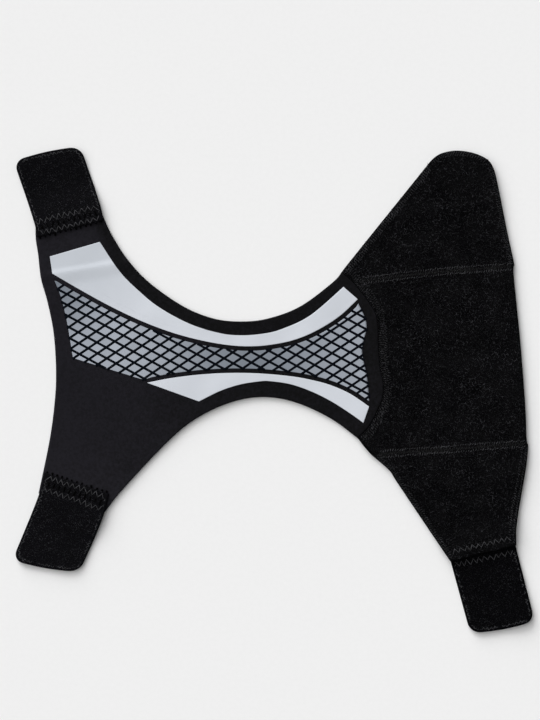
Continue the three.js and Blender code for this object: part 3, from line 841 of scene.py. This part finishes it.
# Tabs
# Three lengths of fastening tape with a short dense pile, edged with a narrow zigzag and sewn down with two
# wide ones. The front tabs lap over the arms, held by two rows of black overcast stitches, and the back
# tab lies under the end of the lower loop panel. The outer row's beads along each sewn end are partly thread
# and partly painted shadow, standing for the serrated dark line under the lap's edge.
TAB_FACE = 2.0  # tape under its pile
TAB_WIDTH = 50.0
TAB_CORNER = 8.5
TAB_BULGE = 0.9  # how far the middle of a free end stands out
TAB_RIM = (1.2, 0.5)
TAB_ROWS = 44
TAB_ACROSS = 60
CORNER_ROWS = 12
TAPE_PILE_START = 2.6
TAPE_PILE_THICKENS = 1.5
TAPE_LOOPS = dict(Density=1.2e6, Span=0.9, Height=0.5, Thread=0.17, Clump=3)
# The stitches, with how far in from a tab's sides their rows run and how high over the cloth
ZIGZAG = dict(Pitch=4.4, Width=3.7, Thread=0.46, Arch=0.35, Scatter=0.5)
ZIGZAG_INSET = 3
ZIGZAG_LIFT = 0.15
PILE_LIFT = 0.5  # that of the zigzag that lies on the lower loop panel
EDGING = dict(Pitch=2.8, Width=1.6, Thread=0.38, Arch=0.2, Scatter=0.5)
EDGING_INSET = 2.2
EDGING_HEIGHT = 0.98  # share of the tape's thickness
OVERCAST = dict(Pitch=3.9, Length=3.6, Thread=1.5, Arch=0.2, Turn=math.pi / 2, Jitter=0.3, Scatter=0.3)
# The outer row's beads are partly painted shadow, the serrated dark line under the lap's edge.
OVERCAST_START = 0.2  # the outer row's distance from the sewn end
OVERCAST_INSETS = (2, 5)
OVERCAST_LIFT = 0.3
# Places along the middle of each tab from the sewn end to the free end: x, y, angle and width. The heights
# are those of its lap, its lowest place and its free end, and the bends say how far along the first two end.
TABS = [
    dict(name="upper_front_tab", lap="over", heights=(3.3, 0.0, 2.4), bends=(10, 32),
         zigzags=(2.4, 11.1), edged_from=4, rests_on=["table", "front_panel"],
         places=[(-152.6, 120.65, 14.5, 51.2), (-155.5, 134, 14, 51.2), (-170.3, 177.65, 12.4, 51.2)]),
    dict(name="lower_front_tab", lap="over", heights=(3.3, 0.6, 1.0), bends=(15, 42),
         zigzags=(2.9, 12.4), edged_from=4, rests_on=["table", "front_panel"],
         places=[(-148.1, -69.6, -18.2, 50.9), (-152.9, -89, -19, 50.9), (-171.3, -132.6, -9.9, 50.9)]),
    dict(name="back_tab", lap="under", heights=(0, 0.3, 1.2), bends=(12, 40),
         zigzags=(3.3, 13.9), edged_from=14, rests_on=["table"],
         places=[(154.4, -112.9, 12.7, 50.3), (157.8, -126.5, 12.4, 50), (171.44, -178.44, 10.7, 49)]),
]


def tab_length(tab):
    return distances(smooth_line(tab["places"])[:, :2])[-1]


def tab_spots(tab, along, side, inset):
    """Places on a tab, at distances along it, on a side from -1 to 1, and so far in from its full width."""
    line = smooth_line(tab["places"])
    sums = distances(line[:, :2])
    x, y, angle, width = (np.interp(along, sums, column) for column in line.T)
    onward = (line[-1, :2] - line[0, :2]) / np.linalg.norm(line[-1, :2] - line[0, :2])
    off = side * (width / 2 - inset) * np.sign(onward[1])
    across = np.stack([np.cos(np.radians(angle)), np.sin(np.radians(angle))], -1) * off[..., None]
    bulge = TAB_BULGE * (1 - side**2) * (along / sums[-1]) ** 2
    return np.stack([x, y], -1) + across + onward * bulge[..., None]


def tab_grid(tab):
    """Rows across a tab from its sewn end to its free end, which has round corners."""
    length = tab_length(tab)
    straight = np.concatenate([RIM_STEPS[:-1], np.linspace(RIM_STEPS[-1], length - TAB_CORNER, TAB_ROWS)])
    turn = np.linspace(0, math.pi / 2, CORNER_ROWS + 1)[1:]
    along = np.concatenate([straight, length - TAB_CORNER * (1 - np.sin(turn))])
    narrowed = np.concatenate([np.zeros(len(straight)), TAB_CORNER * (1 - np.cos(turn))])
    rims = RIM_STEPS / TAB_WIDTH
    share = np.concatenate([rims[:-1], np.linspace(rims[-1], 1 - rims[-1], TAB_ACROSS), 1 - rims[-2::-1]])
    return tab_spots(tab, along[None], (2 * share - 1)[:, None], narrowed)


def tab_bed(tab, points):
    """Underside of a tab: level over its lap, then down to its lowest place and on to its free end."""
    lap, tip = (np.array(tab["places"][end][:2]) for end in (0, -1))
    length = np.linalg.norm(tip - lap)
    heading = math.degrees(math.atan2(tip[1] - lap[1], tip[0] - lap[0]))
    bed = lie(points) + tab["heights"][0]
    for bend, reach, change in zip(tab["bends"], np.diff([*tab["bends"], length]), np.diff(tab["heights"])):
        x, y = lap + (tip - lap) * bend / length
        bed = bed + rise(points, x, y, heading, reach, change)
    return bed


def tape_finish():
    material, board, place = new_finish("tab_tape", specular_ior_level=0.02)
    tufts_and_glints = board.noise(place, 1.1, 5.0)
    # Painted light: the tape is lighter towards the left and darker towards the right.
    rightward = board.split(place).ramp(RIGHTWARD)
    dark = rightward.blend((11, 11, 13), (4, 4, 5))
    light = rightward.blend((28, 27, 33), (22, 21, 26))
    # The tufts give real relief, and their lighter specks are painted highlights, the glints of the fibres.
    tone = (tufts_and_glints.fade(0.45, 0.8) * 0.5).blend(dark, light)
    return painted(material, tone, 0.75 + tufts_and_glints * 0.2, tufts_and_glints.bump(0.45))


def zigzag_tree():
    board, given = new_tree("zigzag", "Pitch", "Width", "Thread", "Arch", "Scatter")
    index = board.node("GeometryNodeInputIndex")
    side = index.maths("MODULO", index, 2.0) - 0.5
    astray = board.node("FunctionNodeRandomValue", {
        0: (-1.0, -1.0, -1.0), 1: (1.0, 1.0, 0.3), "Seed": given.Seed}, data_type="FLOAT_VECTOR")
    stray = board.vector("SCALE", {0: astray, "Scale": given.Scatter})
    offset = board.vector("ADD", {0: sideways(board, side * given.Width), 1: stray})
    bent = even_row(given, given.Pitch * 0.5).moved(offset)
    fine = board.node("GeometryNodeSubdivideCurve", {"Curve": bent, "Cuts": 3})
    quarter = index.maths("MODULO", index, 4.0) * (math.pi / 4)
    lift = board.point(z=quarter.maths("SINE", quarter) * given.Arch)
    return close_tree(fine.moved(lift).swept(board.ring(5, given.Thread * 0.5)), given.Finish)


def edge_row(tab, inset):
    """A line just inside a tab's two sides and its free end."""
    length, radius = tab_length(tab), TAB_CORNER - inset
    turn = np.linspace(0, math.pi / 2, CORNER_ROWS)
    straight = np.linspace(tab["edged_from"], length - TAB_CORNER, TAB_ROWS)
    along = np.concatenate([straight, length - TAB_CORNER + radius * np.sin(turn)])
    inward = np.concatenate([np.full(len(straight), inset), TAB_CORNER - radius * np.cos(turn)])
    end = np.linspace(1, -1, TAB_ROWS)[1:-1]
    spots = tab_spots(
        tab, np.concatenate([along, np.full(len(end), along[-1]), along[::-1]]),
        np.concatenate([np.ones(len(along)), end, -np.ones(len(along))]),
        np.concatenate([inward, np.full(len(end), TAB_CORNER), inward[::-1]]))
    return np.column_stack([spots, tab_bed(tab, spots) + TAB_FACE * EDGING_HEIGHT])


def zigzag_rows(tab):
    """The two wide zigzags. The first of a tab that laps under a panel lies on that panel."""
    rows = []
    for along in tab["zigzags"]:
        spots = tab_spots(tab, along, np.linspace(-1, 1, TAB_ACROSS), ZIGZAG_INSET)
        height = tab_bed(tab, spots) + TAB_FACE + ZIGZAG_LIFT
        if tab["lap"] == "under" and along < tab["bends"][0]:
            height = lie_over_tab(spots) + GROUND_THICK + PILE_LIFT
        rows.append(np.column_stack([spots, height]))
    return rows


def overcast_rows(tab):
    """The two rows of overcast stitches: one over the sewn end and one between the zigzags."""
    across = np.linspace(-1, 1, TAB_ACROSS)
    outer = tab_spots(tab, OVERCAST_START, across, OVERCAST_INSETS[0])
    inner = tab_spots(tab, np.mean(tab["zigzags"]), across, OVERCAST_INSETS[1])
    return [np.column_stack([outer, lie(outer) + PANEL_THICK + OVERCAST_LIFT]),
            np.column_stack([inner, tab_bed(tab, inner) + TAB_FACE])]


tape = tape_finish()
tape_yarn = loop_finish("tape_yarn", (5, 5, 6), (76, 76, 81), (58, 58, 62))
black_thread = thread_finish("black_thread", (1, 1, 1), (3, 3, 4), gloss=0.02)
zigzag = zigzag_tree()
for seed, tab in enumerate(TABS, 51):
    name = tab["name"]
    grid = tab_grid(tab)
    share = crown(grid, dict.fromkeys(SIDES, TAB_RIM))
    bed = tab_bed(tab, grid)
    inside = np.min([edge_distances(grid)[edge] for edge in ("left", "top", "right")], axis=0)
    piece = sheet_piece(
        name + "_tape", grid, bed + TAB_FACE * share, bed + TAB_FACE * UNDERCUT * (1 - share),
        tape, tape, pile=ease((inside - TAPE_PILE_START) / TAPE_PILE_THICKENS))
    edge = [edge_row(tab, EDGING_INSET)]
    extras = [
        grow(name + "_loops", piece.data, loop_pile, Seed=seed, Finish=tape_yarn, **TAPE_LOOPS),
        grow_along(name + "_zigzags", zigzag_rows(tab), zigzag, Seed=seed, Finish=thread, **ZIGZAG),
        grow_along(name + "_edging", edge, zigzag, Seed=seed, Finish=thread, **EDGING)]
    if tab["lap"] == "over":
        extras.append(grow_along(
            name + "_overcast", overcast_rows(tab), stitches, Seed=seed, Finish=black_thread, **OVERCAST))
    seat(piece, name)
    for extra in extras:
        seat(extra)

# Table, light and camera
# A pale table top, a high and a low broad soft lamp at the upper left, a weak bright room, and a camera
# straight above.
PHOTO_WIDTH = 540
PHOTO_HEIGHT = 720
PHOTO_SCALE = 0.75  # millimetres in a pixel
PHOTO_ORIGIN = (274, 390)  # the pixel over the brace's origin
CAMERA_HEIGHT = 3.2
KEY = dict(heading=148, elevation=56, softness=80, power=2.0)
SIDE = dict(heading=115, elevation=24, softness=42, power=2.6)
ROOM_POWER = 0.15
SENSOR = 36.0
TABLE_HALF = 40.0  # metres, so far that the table's edges stay out of sight
TABLE_TOP = -0.2  # just under the cloth


def table_finish():
    material, board, place = new_finish("table", specular_ior_level=0.2)
    fine = board.noise(place, 3, 3.0)
    return painted(material, fine.blend((236, 236, 236), (240, 240, 240)), 0.8 + fine * 0.1)


table_corners = np.array([(-1, -1, 0), (1, -1, 0), (1, 1, 0), (-1, 1, 0)]) * TABLE_HALF
table_mesh = bpy.data.meshes.new("table")
table_mesh.from_pydata((table_corners + (0, 0, TABLE_TOP * MM)).tolist(), [], [(0, 1, 2, 3)])
table_mesh.materials.append(table_finish())
new_object("table", table_mesh)


def lamp(name, heading, elevation, softness, power):
    """A far and broad lamp that stands in a direction from the table and shines on it."""
    light = bpy.data.lights.new(name, "SUN")
    light.angle = math.radians(softness)
    light.energy = power
    turn = (0, math.radians(elevation - 90), math.radians(heading - 180))
    new_object(name, light).rotation_euler = turn


lamp("key", **KEY)
lamp("side", **SIDE)
world = bpy.data.worlds.new("room")
world.use_nodes = True
room = world.node_tree.nodes["Background"].inputs
room["Color"].default_value = (1.0, 1.0, 1.0, 1.0)
room["Strength"].default_value = ROOM_POWER
scene.world = world
scene.view_settings.view_transform = "Standard"

camera = bpy.data.cameras.new("camera")
camera.sensor_width = SENSOR
camera.lens = SENSOR * CAMERA_HEIGHT / (PHOTO_HEIGHT * PHOTO_SCALE * MM)
viewer = new_object("camera", camera)
viewer.location = (
    (PHOTO_WIDTH / 2 - PHOTO_ORIGIN[0]) * PHOTO_SCALE * MM,
    (PHOTO_ORIGIN[1] - PHOTO_HEIGHT / 2) * PHOTO_SCALE * MM,
    CAMERA_HEIGHT)
scene.camera = viewer
